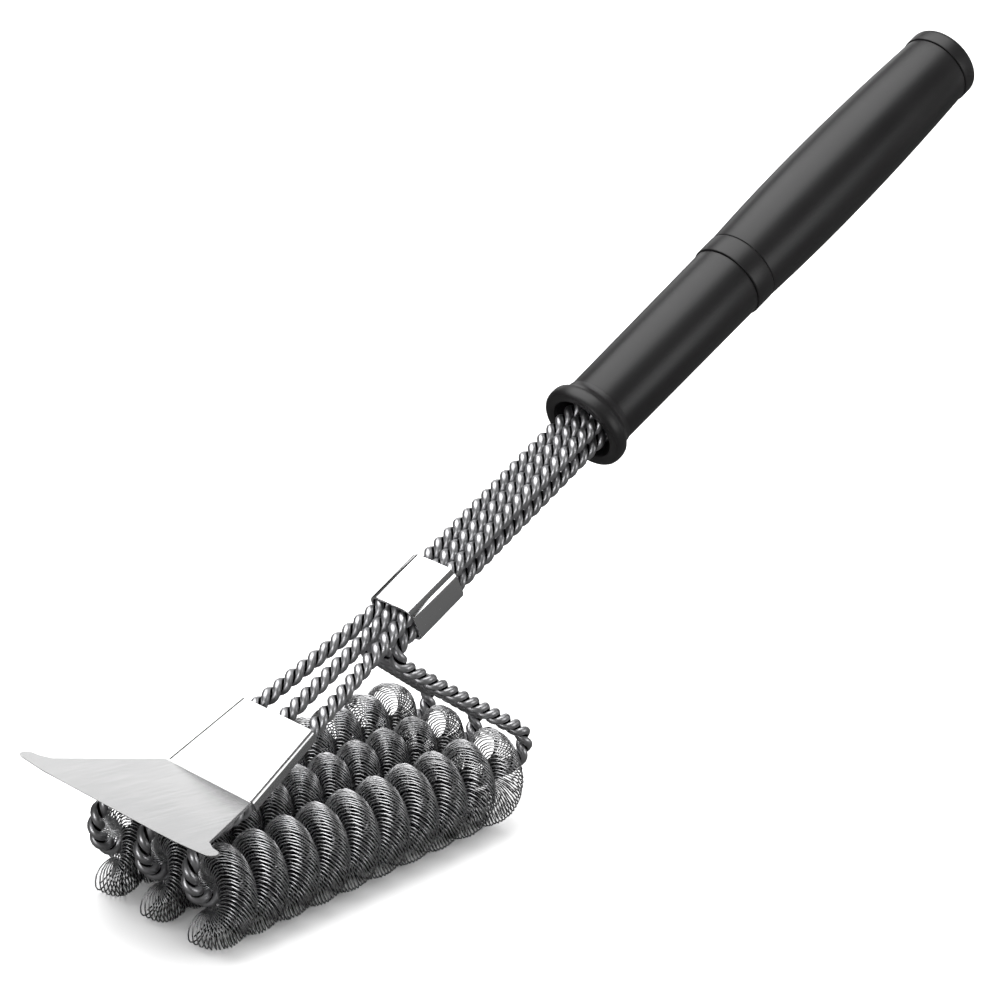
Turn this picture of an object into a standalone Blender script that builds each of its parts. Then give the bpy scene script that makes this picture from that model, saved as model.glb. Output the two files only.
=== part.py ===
"""Grill cleaning brush: three twisted-wire loops carrying three coiled scrubbing rows,
a folded steel scraper, a clamping collar and a hollow plastic handle.

The brush rests on its coiled rows. X runs from the scraper to the handle, Z is up, and the
stem leaves the head at STEM_TILT above the floor. The shapes are laid out from the front of the
rows, and the whole is then moved so that the origin is under the middle of its length.
Lengths are in metres.
"""

import math

import bmesh
import bpy
from mathutils import Matrix, Vector

GAP = 0.0003  # clearance between pieces that touch

# Twisted wire
WIRE_DIAMETER = 0.00305
ROPE_RADIUS = WIRE_DIAMETER  # two wires side by side
ROPE_SPACING = 2 * ROPE_RADIUS + GAP  # ropes lying against each other in the stem

# Scrubbing rows
ROW_SPACING = 0.0235
ROW_REAR_SPACING = 0.0240
ROW_REAR = 0.1565  # where the rope turns up behind the coils
REAR_RISE = 0.0105  # height of that turn above the row's axis
COIL_RADIUS = 0.0174  # outer radius of a row
COIL_PLAY = 0.00135  # room between the rope and the fine spring that is wound round it
COIL_TUBE_RADIUS = (COIL_RADIUS - ROPE_RADIUS - COIL_PLAY) / 2  # radius of that spring
COIL_TURN_GAP = 0.00093  # between one turn of the winding and the next
COIL_PITCH = 2 * COIL_TUBE_RADIUS + COIL_TURN_GAP
COIL_FIRST_PASS = 0.0099  # where the winding first crosses the near side of its row
COIL_FROM = math.radians(-112)  # angle of its first end, before that crossing
COIL_REAR_SPACE = 0.015813  # from the middle of the winding's last end to the rope's turn
COIL_TURNS = (ROW_REAR - COIL_REAR_SPACE - COIL_FIRST_PASS) / COIL_PITCH - COIL_FROM / (2 * math.pi)
FRONT_BEND_X = -0.0010
REAR_BEND_RADIUS = 0.0068

# Stem
STEM_TILT = math.radians(26.8)
HEAD_TILT = math.radians(25.3)  # slope of the fanned ropes and the clamp, in front of the collar
MOUTH_RISE = 0.0420  # above the tops of the rows
STEM_MOUTH = Vector((0.1130, 0.0, 2 * COIL_RADIUS + MOUTH_RISE))  # where the ropes leave the collar
FAN_AT_CLAMP = 0.0133
FAN_AT_CREASE = 0.0169
ROPE_TAIL = 0.1500  # how far the ropes reach along the stem into the handle
MOUTH_BEND = -0.0130  # corner of the lower ropes' turn in front of the collar
MOUTH_BEND_RADIUS = 0.0060

# Scraper
SHEET = 0.0010
CLAMP_REAR = -0.0570
CREASE = -0.0910
FLANGE_HEIGHT = 0.0046
BLADE_ANGLE = math.radians(33.8)  # turned up from the clamp's plane
BLADE_LENGTH = 0.0440  # crease to the middle of the front edge
BLADE_TIP_LENGTH = 0.0395  # crease to the middle of a tip
BLADE_HALF_WIDTH = 0.0480
BLADE_TIP_RADIUS = 0.0030

# Collar
COLLAR_START = 0.0010
COLLAR_LENGTH = 0.0230

# Handle: its mouldings pass round the bundle of ropes and the plug, so their radii follow it
BUNDLE_RADIUS = math.hypot(ROPE_SPACING / 2, ROPE_SPACING) + ROPE_RADIUS
INSERT_WALL = 0.0016  # the plug's wall at the bundle's corners
SLEEVE_WALL = 0.0020
SLEEVE_RADIUS = BUNDLE_RADIUS + INSERT_WALL + GAP + SLEEVE_WALL
SLEEVE_REAR_RADIUS = SLEEVE_RADIUS + 0.0007
BELL_START = 0.1040
BELL_LENGTH = 0.0105
BELL_RADIUS = SLEEVE_RADIUS + 0.0031
BELL_HOLE_RADIUS = BUNDLE_RADIUS + 0.0010
RING_START = 0.1912
RING_LENGTH = 0.0092
RING_RADIUS = SLEEVE_RADIUS + 0.0012
RING_SPIGOT = 0.0100
GRIP_MIDDLE_RADIUS = SLEEVE_RADIUS + 0.0024
GRIP_FRONT_RADIUS = SLEEVE_RADIUS + 0.0011
GRIP_REAR_RADIUS = SLEEVE_RADIUS + 0.0005
GRIP_PEAK = 0.42  # where the grip is widest, as a share of its length
CAP_START = 0.3262
CAP_LENGTH = 0.0074
CAP_RADIUS = SLEEVE_RADIUS + 0.0009
CAP_EDGE = 0.0026
CAP_SPIGOT = 0.0120
INSERT_START = 0.1240
INSERT_LENGTH = 0.0140

ROUND_SIDES = 40
ROPE_RESOLUTION = 2  # eight sides
COIL_SIDES = 7
COIL_STEPS = 14


def clear_scene():
    for obj in list(bpy.data.objects):
        bpy.data.objects.remove(obj, do_unlink=True)


def material(name, color, roughness, metallic):
    mat = bpy.data.materials.new(name)
    mat.use_nodes = True
    shader = mat.node_tree.nodes["Principled BSDF"]
    shader.inputs["Base Color"].default_value = (*color, 1.0)
    shader.inputs["Roughness"].default_value = roughness
    shader.inputs["Metallic"].default_value = metallic
    return mat


def link(obj, mat, parent):
    bpy.context.scene.collection.objects.link(obj)
    obj.data.materials.append(mat)
    obj.parent = parent
    return obj


def empty_at(name, location, rotation, parent=None):
    empty = bpy.data.objects.new(name, None)
    empty.location = location
    empty.rotation_euler = rotation
    empty.parent = parent
    bpy.context.scene.collection.objects.link(empty)
    return empty


def centre_on_origin(root):
    """Moves the brush so that the origin is on the floor under the middle of its length."""
    bpy.context.view_layer.update()
    graph = bpy.context.evaluated_depsgraph_get()
    points = []
    for obj in bpy.context.scene.objects:
        if obj.type in ("MESH", "CURVE"):
            solid = obj.evaluated_get(graph)
            points += [solid.matrix_world @ vert.co for vert in solid.to_mesh().vertices]
            solid.to_mesh_clear()
    along = [point.x for point in points]
    root.location = (-(min(along) + max(along)) / 2, 0.0, -min(point.z for point in points))


def on_slope(tilt, along, across, above):
    """World point at a distance along a slope through the collar's mouth, across it and above it."""
    direction = Vector((math.cos(tilt), 0.0, math.sin(tilt)))
    normal = Vector((-math.sin(tilt), 0.0, math.cos(tilt)))
    return STEM_MOUTH + direction * along + normal * above + Vector((0.0, across, 0.0))


def on_stem(along, across, above):
    return on_slope(STEM_TILT, along, across, above)


def on_head(along, across, above):
    return on_slope(HEAD_TILT, along, across, above)


def rounded_path(corners, steps=6):
    """Points of a path whose corners (point, radius) are replaced by arcs."""
    points = [corners[0][0]]
    for before, (corner, radius), after in zip(corners, corners[1:], corners[2:]):
        back = (before[0] - corner).normalized()
        ahead = (after[0] - corner).normalized()
        if radius <= 0.0 or back.angle(-ahead) < 1e-4:
            points.append(corner)
            continue
        half = back.angle(ahead) / 2
        reach = radius / math.tan(half)
        centre = corner + (back + ahead).normalized() * (radius / math.sin(half))
        start = corner + back * reach - centre
        turn = math.pi - 2 * half
        axis = start.cross(corner + ahead * reach - centre).normalized()
        count = max(2, math.ceil(steps * turn / (math.pi / 2)))
        for k in range(count + 1):
            points.append(centre + Matrix.Rotation(turn * k / count, 3, axis) @ start)
    points.append(corners[-1][0])
    return points


def rope_corners(side):
    """Corners of one loop: side is -1, 0 or 1 for the near, middle and far row."""
    layer = ROPE_SPACING / 2
    packed = side * ROPE_SPACING
    row = side * ROW_SPACING
    row_rear = side * ROW_REAR_SPACING
    crease = on_head(CREASE - 0.002, side * (FAN_AT_CREASE + 0.0002), layer)
    over_coils = crease.z
    bend = (over_coils - COIL_RADIUS) / 2 - 0.0001
    return [
        (on_stem(ROPE_TAIL, packed, layer), 0.0),
        (on_stem(-0.0010, packed, layer), 0.02),
        (on_head(CLAMP_REAR + 0.002, side * FAN_AT_CLAMP, layer), 0.08),
        (crease, 0.012),
        (Vector((FRONT_BEND_X, row, over_coils)), bend),
        (Vector((FRONT_BEND_X, row, COIL_RADIUS)), bend),
        (Vector((ROW_REAR, row_rear, COIL_RADIUS)), REAR_BEND_RADIUS),
        (Vector((ROW_REAR, row_rear, COIL_RADIUS + REAR_RISE)), REAR_BEND_RADIUS),
        (on_stem(MOUTH_BEND, packed, -layer), MOUTH_BEND_RADIUS),
        (on_stem(ROPE_TAIL, packed, -layer), 0.0),
    ]


def make_rope(name, side, mat, parent):
    curve = bpy.data.curves.new(name, "CURVE")
    curve.dimensions = "3D"
    curve.bevel_depth = ROPE_RADIUS
    curve.bevel_resolution = ROPE_RESOLUTION
    curve.use_fill_caps = True
    points = rounded_path(rope_corners(side))
    spline = curve.splines.new("POLY")
    spline.points.add(len(points) - 1)
    for spline_point, point in zip(spline.points, points):
        spline_point.co = (*point, 1.0)
    return link(bpy.data.objects.new(name, curve), mat, parent)


def squashed(offset, limit):
    """Moves an offset from the axis inward where something presses the spring to a limit."""
    inner = ROPE_RADIUS + GAP
    if abs(offset) <= inner:
        return offset
    return math.copysign(inner + (abs(offset) - inner) * (limit - inner) / (COIL_RADIUS - inner), offset)


def coil_point(angle, around, tube_radius, side):
    """Surface point of the wound spring: angle along the winding, around its own section."""
    half = ROW_SPACING / 2 - GAP / 2
    mean = COIL_RADIUS - COIL_TUBE_RADIUS
    lead = math.atan2(COIL_PITCH, 2 * math.pi * mean)
    radial = mean + tube_radius * math.cos(around)
    shift = tube_radius * math.sin(around)
    x = COIL_FIRST_PASS + COIL_PITCH * angle / (2 * math.pi) + shift * math.cos(lead)
    turned = angle - shift * math.sin(lead) / mean
    y = -radial * math.cos(turned)
    z = radial * math.sin(turned)
    pressed = side < 1 if y > 0 else side > -1
    y = squashed(y, half if pressed else COIL_RADIUS)
    row = side * (ROW_SPACING + (ROW_REAR_SPACING - ROW_SPACING) * x / ROW_REAR)
    return Vector((x, row + y, COIL_RADIUS + z))


def make_coil(name, side, mat, parent):
    """A closed tube of the spring's outer size, wound round the rope."""
    mesh = bmesh.new()
    steps = round(COIL_TURNS * COIL_STEPS)
    rings = []
    for k in range(-1, steps + 2):
        angle = COIL_FROM + 2 * math.pi * COIL_TURNS * min(max(k, 0), steps) / steps
        end = k < 0 or k > steps
        size = COIL_TUBE_RADIUS * (0.55 if end else 1.0)
        nudge = (-0.12 if k < 0 else 0.12) if end else 0.0
        ring = []
        for j in range(COIL_SIDES):
            around = 2 * math.pi * j / COIL_SIDES
            ring.append(mesh.verts.new(coil_point(angle + nudge, around, size, side)))
        rings.append(ring)
    for first, second in zip(rings, rings[1:]):
        for j in range(COIL_SIDES):
            after = (j + 1) % COIL_SIDES
            mesh.faces.new((first[j], first[after], second[after], second[j]))
    mesh.faces.new(rings[0])
    mesh.faces.new(rings[-1])
    bmesh.ops.recalc_face_normals(mesh, faces=mesh.faces)
    data = bpy.data.meshes.new(name)
    mesh.to_mesh(data)
    mesh.free()
    data.shade_smooth()
    return link(bpy.data.objects.new(name, data), mat, parent)


def turned(name, profile, mat, parent):
    """Spins a closed outline of (distance along, radius) round the stem's axis."""
    mesh = bmesh.new()
    verts = [mesh.verts.new((radius, 0.0, along)) for along, radius in profile]
    edges = [mesh.edges.new((a, b)) for a, b in zip(verts, verts[1:] + verts[:1])]
    bmesh.ops.spin(
        mesh,
        geom=verts + edges,
        axis=(0, 0, 1),
        cent=(0, 0, 0),
        angle=2 * math.pi,
        steps=ROUND_SIDES,
        use_merge=True,
    )
    bmesh.ops.remove_doubles(mesh, verts=mesh.verts, dist=1e-6)
    bmesh.ops.recalc_face_normals(mesh, faces=mesh.faces)
    data = bpy.data.meshes.new(name)
    mesh.to_mesh(data)
    mesh.free()
    data.shade_smooth()
    data.set_sharp_from_angle(angle=math.radians(35))
    return link(bpy.data.objects.new(name, data), mat, parent)


def rounded_box_outline(half_x, half_y, corner, steps=3):
    points = []
    for quadrant, (sx, sy) in enumerate(((1, 1), (-1, 1), (-1, -1), (1, -1))):
        for k in range(steps + 1):
            a = math.pi / 2 * (quadrant + k / steps)
            x = sx * (half_x - corner) + corner * math.cos(a)
            y = sy * (half_y - corner) + corner * math.sin(a)
            points.append((x, y))
    return points


def sleeve_prism(name, outer, inner, start, length, mat, parent):
    """A tube of constant section between an outer and an inner outline with equal point counts."""
    mesh = bmesh.new()
    loops = []
    for outline, along in ((outer, start), (outer, start + length), (inner, start + length), (inner, start)):
        loops.append([mesh.verts.new((x, y, along)) for x, y in outline])
    count = len(outer)
    for a, b in zip(loops, loops[1:] + loops[:1]):
        for j in range(count):
            k = (j + 1) % count
            mesh.faces.new((a[j], a[k], b[k], b[j]))
    bmesh.ops.recalc_face_normals(mesh, faces=mesh.faces)
    data = bpy.data.meshes.new(name)
    mesh.to_mesh(data)
    mesh.free()
    data.shade_smooth()
    data.set_sharp_from_angle(angle=math.radians(35))
    return link(bpy.data.objects.new(name, data), mat, parent)


def bundle_half_sizes():
    """Half height and half width of the space that six ropes fill, three wide and two high."""
    return (
        ROPE_SPACING / 2 + ROPE_RADIUS + GAP,
        ROPE_SPACING + ROPE_RADIUS + GAP,
    )


def make_collar(mat, parent):
    half_x, half_y = bundle_half_sizes()
    corner = ROPE_RADIUS + GAP
    inner = rounded_box_outline(half_x, half_y, corner)
    outer = rounded_box_outline(half_x + SHEET, half_y + SHEET, corner + SHEET)
    return sleeve_prism("stem_collar", outer, inner, COLLAR_START, COLLAR_LENGTH, mat, parent)


def blade_outline():
    """Half outline of the blade beyond the crease, as (distance from the crease, half width)."""
    r = BLADE_TIP_RADIUS
    crease_half = FAN_AT_CREASE + ROPE_RADIUS + GAP + SHEET
    tip_y = BLADE_HALF_WIDTH - r
    tip_x = BLADE_TIP_LENGTH
    points = [(0.0, crease_half), (tip_x - r * 1.8, tip_y - r * 2.0), (tip_x - r * 1.05, tip_y - r * 0.6)]
    for k in range(7):
        a = math.radians(-70 + 150 * k / 6)
        points.append((tip_x + r * math.sin(a), tip_y + r * math.cos(a)))
    points.append((BLADE_LENGTH - 0.0002, tip_y - 0.0120))
    points.append((BLADE_LENGTH, tip_y - 0.0220))
    return points


def make_scraper(mat, parent):
    """One folded sheet: clamp plate over the ropes, two side flanges, crease and flared blade."""
    mesh = bmesh.new()
    above = ROPE_SPACING / 2 + ROPE_RADIUS + GAP
    rear_half = FAN_AT_CLAMP + ROPE_RADIUS + GAP + SHEET
    front_half = FAN_AT_CREASE + ROPE_RADIUS + GAP + SHEET
    tilt = HEAD_TILT - BLADE_ANGLE
    forward = Vector((-math.cos(tilt), 0.0, -math.sin(tilt)))
    crease_low = on_head(CREASE, 0.0, above)
    crease_high = on_head(CREASE, 0.0, above + SHEET) + forward * (SHEET * math.tan(BLADE_ANGLE / 2))
    side = blade_outline()
    half_count = len(side)
    outline = side + [(x, -y) for x, y in reversed(side)]
    layers = []
    for base in (crease_low, crease_high):
        layers.append([mesh.verts.new(base + forward * x + Vector((0.0, y, 0.0))) for x, y in outline])
    count = len(outline)
    for j in range(count - 1):
        mesh.faces.new((layers[0][j], layers[0][j + 1], layers[1][j + 1], layers[1][j]))
    for layer in layers:
        for j in range(half_count - 1):
            k = count - 1 - j
            mesh.faces.new((layer[j], layer[j + 1], layer[k - 1], layer[k]))
    far_low, near_low = layers[0][0], layers[0][-1]
    far_high, near_high = layers[1][0], layers[1][-1]
    profile = clamp_profile(above, rear_half)
    front = clamp_profile(above, front_half)
    rear_ring = [mesh.verts.new(on_head(CLAMP_REAR, y, n)) for y, n in profile]
    front_ring = [mesh.verts.new(on_head(CREASE + 0.0006, y, n)) for y, n in front]
    size = len(profile)
    for j in range(size):
        k = (j + 1) % size
        mesh.faces.new((rear_ring[j], rear_ring[k], front_ring[k], front_ring[j]))
    mesh.faces.new((rear_ring[0], rear_ring[1], rear_ring[2], rear_ring[7]))
    mesh.faces.new((rear_ring[2], rear_ring[3], rear_ring[6], rear_ring[7]))
    mesh.faces.new((rear_ring[3], rear_ring[4], rear_ring[5], rear_ring[6]))
    mesh.faces.new((front_ring[0], front_ring[1], front_ring[2], front_ring[7]))
    mesh.faces.new((front_ring[3], front_ring[4], front_ring[5], front_ring[6]))
    inner_far, inner_near = front_ring[6], front_ring[7]
    far_top, near_top = front_ring[3], front_ring[2]
    mesh.faces.new((near_top, far_top, far_high, near_high))
    mesh.faces.new((inner_near, inner_far, far_low, near_low))
    mesh.faces.new((near_top, inner_near, near_low, near_high))
    mesh.faces.new((far_top, inner_far, far_low, far_high))
    bmesh.ops.recalc_face_normals(mesh, faces=mesh.faces)
    data = bpy.data.meshes.new("scraper")
    mesh.to_mesh(data)
    mesh.free()
    return link(bpy.data.objects.new("scraper", data), mat, parent)


def clamp_profile(above, half):
    """Section of the clamp: a plate on top and a flange down each side, as (across, above)."""
    foot = above + SHEET - FLANGE_HEIGHT
    inner = half - SHEET
    return [
        (-inner, foot),
        (-half, foot),
        (-half, above + SHEET),
        (half, above + SHEET),
        (half, foot),
        (inner, foot),
        (inner, above),
        (-inner, above),
    ]


def make_bell(mat, parent):
    edge = BELL_RADIUS
    start = BELL_START
    neck = SLEEVE_RADIUS
    profile = [
        (start + 0.0006, BELL_HOLE_RADIUS + 0.0016),
        (start, edge - 0.0032),
        (start + 0.0008, edge - 0.0010),
        (start + 0.0032, edge),
        (start + 0.0056, edge - 0.0006),
        (start + 0.0074, edge - 0.0020),
        (start + BELL_LENGTH, neck + 0.0003),
        (start + BELL_LENGTH, BELL_HOLE_RADIUS),
        (start + 0.0040, BELL_HOLE_RADIUS),
    ]
    return turned("handle_bell", profile, mat, parent)


def make_lower_sleeve(mat, parent):
    start = BELL_START + BELL_LENGTH + GAP
    end = RING_START - GAP
    inner = SLEEVE_RADIUS - SLEEVE_WALL
    profile = [
        (start, inner),
        (start, SLEEVE_RADIUS),
        (end - 0.0006, SLEEVE_REAR_RADIUS),
        (end, SLEEVE_REAR_RADIUS - 0.0005),
        (end, inner),
    ]
    return turned("handle_sleeve", profile, mat, parent)


def make_ring(mat, parent):
    start = RING_START
    end = RING_START + RING_LENGTH
    spigot = SLEEVE_RADIUS - SLEEVE_WALL - GAP
    profile = [
        (start - RING_SPIGOT, spigot - 0.0018),
        (start - RING_SPIGOT, spigot),
        (start, spigot),
        (start, RING_RADIUS - 0.0005),
        (start + 0.0006, RING_RADIUS),
        (end - 0.0006, RING_RADIUS),
        (end, RING_RADIUS - 0.0005),
        (end, spigot),
        (end + RING_SPIGOT, spigot),
        (end + RING_SPIGOT, spigot - 0.0018),
    ]
    return turned("handle_ring", profile, mat, parent)


def make_grip(mat, parent):
    """The barrel-shaped hand grip: widest a third of the way up, then narrowing to the cap."""
    start = RING_START + RING_LENGTH + GAP
    end = CAP_START - GAP
    inner = SLEEVE_RADIUS - SLEEVE_WALL
    profile = [(start, inner), (start, GRIP_FRONT_RADIUS - 0.0005)]
    steps = 9
    for k in range(steps + 1):
        t = k / steps
        if t < GRIP_PEAK:
            drop = (GRIP_MIDDLE_RADIUS - GRIP_FRONT_RADIUS) * (1 - t / GRIP_PEAK) ** 2
        else:
            drop = (GRIP_MIDDLE_RADIUS - GRIP_REAR_RADIUS) * ((t - GRIP_PEAK) / (1 - GRIP_PEAK)) ** 2
        profile.append((start + 0.0006 + (end - start - 0.0012) * t, GRIP_MIDDLE_RADIUS - drop))
    profile.append((end, GRIP_REAR_RADIUS - 0.0005))
    profile.append((end, inner))
    return turned("handle_grip", profile, mat, parent)


def make_cap(mat, parent):
    start = CAP_START
    end = CAP_START + CAP_LENGTH
    spigot = SLEEVE_RADIUS - SLEEVE_WALL - GAP
    profile = [
        (start - CAP_SPIGOT, spigot - 0.0018),
        (start - CAP_SPIGOT, spigot),
        (start, spigot),
        (start, CAP_RADIUS - 0.0004),
        (start + 0.0005, CAP_RADIUS),
    ]
    for k in range(5):
        a = math.pi / 2 * k / 4
        profile.append((end - CAP_EDGE + CAP_EDGE * math.sin(a), CAP_RADIUS - CAP_EDGE + CAP_EDGE * math.cos(a)))
    bore = (start - 0.0020, spigot - 0.0018)
    return turned_closed("handle_cap", [bore] + profile, mat, parent)


def turned_closed(name, profile, mat, parent):
    """Spins an outline that starts at the foot of a blind bore and ends at a flat outer disc."""
    mesh = bmesh.new()
    verts = [mesh.verts.new((radius, 0.0, along)) for along, radius in profile]
    edges = [mesh.edges.new((a, b)) for a, b in zip(verts, verts[1:])]
    bmesh.ops.spin(
        mesh,
        geom=verts + edges,
        axis=(0, 0, 1),
        cent=(0, 0, 0),
        angle=2 * math.pi,
        steps=ROUND_SIDES,
        use_merge=True,
    )
    bmesh.ops.remove_doubles(mesh, verts=mesh.verts, dist=1e-6)
    open_edges = [edge for edge in mesh.edges if edge.is_boundary]
    bmesh.ops.holes_fill(mesh, edges=open_edges, sides=0)
    bmesh.ops.recalc_face_normals(mesh, faces=mesh.faces)
    data = bpy.data.meshes.new(name)
    mesh.to_mesh(data)
    mesh.free()
    data.shade_smooth()
    data.set_sharp_from_angle(angle=math.radians(35))
    return link(bpy.data.objects.new(name, data), mat, parent)


def make_insert(mat, parent):
    """The plug inside the sleeve that the six rope ends are pressed through."""
    half_x, half_y = bundle_half_sizes()
    inner = rounded_box_outline(half_x, half_y, ROPE_RADIUS)
    radius = SLEEVE_RADIUS - SLEEVE_WALL - GAP
    outer = []
    for x, y in inner:
        length = math.hypot(x, y)
        outer.append((x / length * radius, y / length * radius))
    return sleeve_prism("handle_insert", outer, inner, INSERT_START, INSERT_LENGTH, mat, parent)


def main():
    clear_scene()
    root = empty_at("brush", (0.0, 0.0, 0.0), (0.0, 0.0, 0.0))
    stem = empty_at("stem", STEM_MOUTH, (0.0, math.pi / 2 - STEM_TILT, 0.0), root)
    rope_steel = material("rope_steel", (0.42, 0.42, 0.43), 0.28, 1.0)
    coil_steel = material("coil_steel", (0.50, 0.50, 0.51), 0.30, 1.0)
    scraper_steel = material("scraper_steel", (0.72, 0.72, 0.73), 0.32, 1.0)
    collar_steel = material("collar_steel", (0.78, 0.78, 0.79), 0.18, 1.0)
    black = material("handle_black", (0.028, 0.028, 0.031), 0.45, 0.0)
    insert_black = material("insert_black", (0.04, 0.04, 0.04), 0.6, 0.0)
    for label, side in (("near", -1), ("middle", 0), ("far", 1)):
        make_rope(f"rope_{label}", side, rope_steel, root)
        make_coil(f"coil_{label}", side, coil_steel, root)
    make_scraper(scraper_steel, root)
    make_collar(collar_steel, stem)
    make_bell(black, stem)
    make_lower_sleeve(black, stem)
    make_ring(black, stem)
    make_grip(black, stem)
    make_cap(black, stem)
    make_insert(insert_black, stem)
    centre_on_origin(root)


main()
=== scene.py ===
"""Visual model of a bristle-free grill brush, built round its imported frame.

Three loops of twisted steel wire carry three rows of fine spring wound round them. A folded
steel scraper clamps the loops in front, a sheet collar holds them together, and their ends run
into a hollow moulded handle. Lengths are in metres, +X runs from the scraper to the handle.
"""

import logging
import math
from dataclasses import dataclass
from enum import Enum

import bpy
import numpy as np
from mathutils import Matrix, Vector

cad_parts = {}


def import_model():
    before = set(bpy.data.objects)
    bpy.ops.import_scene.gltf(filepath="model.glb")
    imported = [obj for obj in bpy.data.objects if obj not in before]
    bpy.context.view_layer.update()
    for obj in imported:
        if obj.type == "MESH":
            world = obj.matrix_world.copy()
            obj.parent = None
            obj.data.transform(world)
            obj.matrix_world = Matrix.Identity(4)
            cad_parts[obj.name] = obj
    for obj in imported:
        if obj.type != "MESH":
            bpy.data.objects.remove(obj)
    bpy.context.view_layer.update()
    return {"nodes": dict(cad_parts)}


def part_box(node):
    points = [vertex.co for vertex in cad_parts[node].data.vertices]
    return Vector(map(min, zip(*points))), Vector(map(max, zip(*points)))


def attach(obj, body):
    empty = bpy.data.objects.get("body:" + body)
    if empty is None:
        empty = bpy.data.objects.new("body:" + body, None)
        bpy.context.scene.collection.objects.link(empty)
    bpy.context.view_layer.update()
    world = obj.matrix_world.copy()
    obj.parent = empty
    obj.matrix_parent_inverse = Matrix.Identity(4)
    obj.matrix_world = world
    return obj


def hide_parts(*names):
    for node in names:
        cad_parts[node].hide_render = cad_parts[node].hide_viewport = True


LOG = logging.getLogger("grill_brush")

MM = 0.001
BODY = "root"

# The front of the rows is laid out from zero, and the object's origin is this far along it.
ORIGIN = Vector((0.2001571, 0.0, 0.0))
CLEARANCE = 0.3 * MM
WIRE_RADIUS = 1.525 * MM
ROPE_RADIUS = 2 * WIRE_RADIUS
ROPE_SPACING = 2 * ROPE_RADIUS + CLEARANCE
ROW_RADIUS = 17.4 * MM
ROW_SPACING = 23.5 * MM  # between rows at their front, where they start
ROW_REAR_SPACING = 24.0 * MM
ROW_REAR = 156.5 * MM  # where the loops turn up behind the rows
SHEET = 1.0 * MM
HANDLE_SIDES = 96

# Sockets of a colour mix, which share their names with those of its other kinds.
MIX_FACTOR = 0
MIX_LOW = 6
MIX_HIGH = 7
MIX_RESULT = 2


class Row(Enum):
    """One of the three rows: which side of the middle it lies on."""

    NEAR = -1
    MIDDLE = 0
    FAR = 1

    @property
    def label(self) -> str:
        """The row's name as the frame spells it."""
        return self.name.lower()


class Polish(Enum):
    """How sheet steel was finished, as the roughness of its Principled shader."""

    SATIN = 0.22
    BRIGHT = 0.13


# ---------------------------------------------------------------------------
# Finishes
# ---------------------------------------------------------------------------


def linear(hex_colour: str) -> tuple[float, float, float, float]:
    """Turns an sRGB hex colour into linear RGBA.

    Args:
        hex_colour: six hex digits.

    Returns:
        Linear red, green, blue and an alpha of one.
    """
    parts = [int(hex_colour[k : k + 2], 16) / 255 for k in (0, 2, 4)]
    red, green, blue = (c / 12.92 if c <= 0.04045 else ((c + 0.055) / 1.055) ** 2.4 for c in parts)
    return red, green, blue, 1.0


def add_node(
    tree: bpy.types.NodeTree,
    kind: str,
    values: dict[str | int, object] | None = None,
    links: dict[str | int, bpy.types.NodeSocket] | None = None,
    **settings: object,
) -> bpy.types.Node:
    """Adds one node with its settings, socket values and incoming links.

    Args:
        tree: the material's or world's node tree.
        kind: the node's type.
        values: default values by input name or index.
        links: sockets to link from, by input name or index.
        **settings: the node's own properties.

    Returns:
        The new node.
    """
    node = tree.nodes.new(kind)
    for name, value in settings.items():
        setattr(node, name, value)
    for key, value in (values or {}).items():
        node.inputs[key].default_value = value
    for key, socket in (links or {}).items():
        tree.links.new(socket, node.inputs[key])
    return node


def fresh_material(name: str) -> tuple[bpy.types.Material, bpy.types.Node]:
    """Makes a node material.

    Args:
        name: the material's name.

    Returns:
        The material and its Principled shader.
    """
    material = bpy.data.materials.new(name)
    material.use_nodes = True
    return material, material.node_tree.nodes["Principled BSDF"]


@dataclass(frozen=True)
class Texture:
    """How a fine pattern changes a surface's gloss and height."""

    glossier: float
    rougher: float
    strength: float
    height: float

    def dress(
        self,
        material: bpy.types.Material,
        colour: bpy.types.NodeSocket,
        roughness: float,
        gloss_pattern: bpy.types.NodeSocket,
        height_pattern: bpy.types.NodeSocket,
    ) -> None:
        """Links colour, gloss and height to a material's Principled shader.

        Args:
            material: the material.
            colour: its base colour.
            roughness: the roughness that its gloss wanders round.
            gloss_pattern: where it is glossier and rougher, zero to one.
            height_pattern: where it is lower and higher, zero to one.
        """
        tree = material.node_tree
        shader = tree.nodes["Principled BSDF"]
        gloss = add_node(
            tree, "ShaderNodeMapRange",
            {"To Min": roughness - self.glossier, "To Max": roughness + self.rougher},
            {"Value": gloss_pattern},
        )
        bump = add_node(
            tree, "ShaderNodeBump",
            {"Strength": self.strength, "Distance": self.height}, {"Height": height_pattern},
        )
        tree.links.new(colour, shader.inputs["Base Color"])
        tree.links.new(gloss.outputs["Result"], shader.inputs["Roughness"])
        tree.links.new(bump.outputs["Normal"], shader.inputs["Normal"])


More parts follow.
